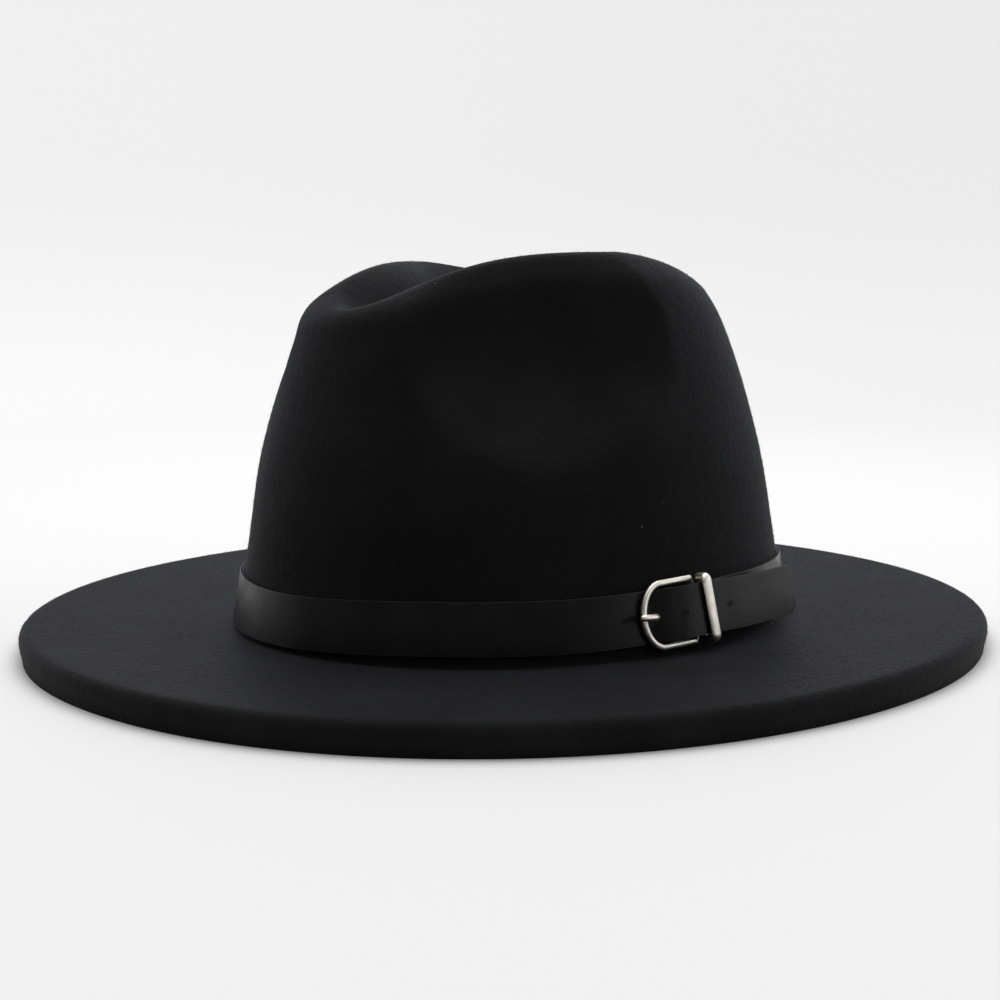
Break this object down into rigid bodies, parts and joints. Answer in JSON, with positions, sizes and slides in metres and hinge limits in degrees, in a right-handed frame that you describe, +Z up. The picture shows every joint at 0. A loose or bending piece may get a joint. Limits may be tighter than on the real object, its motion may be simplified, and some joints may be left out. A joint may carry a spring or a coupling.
{
  "type": "fedora hat with buckled leather strap",
  "caption": "Black felt fedora with a pinched teardrop crown, a flat wide brim with a turned-down lip and a buckled leather strap.",
  "frame": {"origin": "on the surface the hat rests on, under the middle of the brim's outline", "axes": "+Z up, -Y towards the front of the hat, +X towards the wearer's left, where the buckle is"},
  "size_m": [0.3192, 0.3436, 0.1327],
  "materials": {
    "felt": "matt brushed felt",
    "strap_leather": "smooth, low sheen",
    "nickel": "polished, slightly worn"
  },
  "bodies": {
    "root": {"felt_body": "felt", "strap": "strap_leather", "buckle_frame": "nickel", "buckle_prong": "nickel", "strap_keeper": "nickel"}
  },
  "joints": []
}
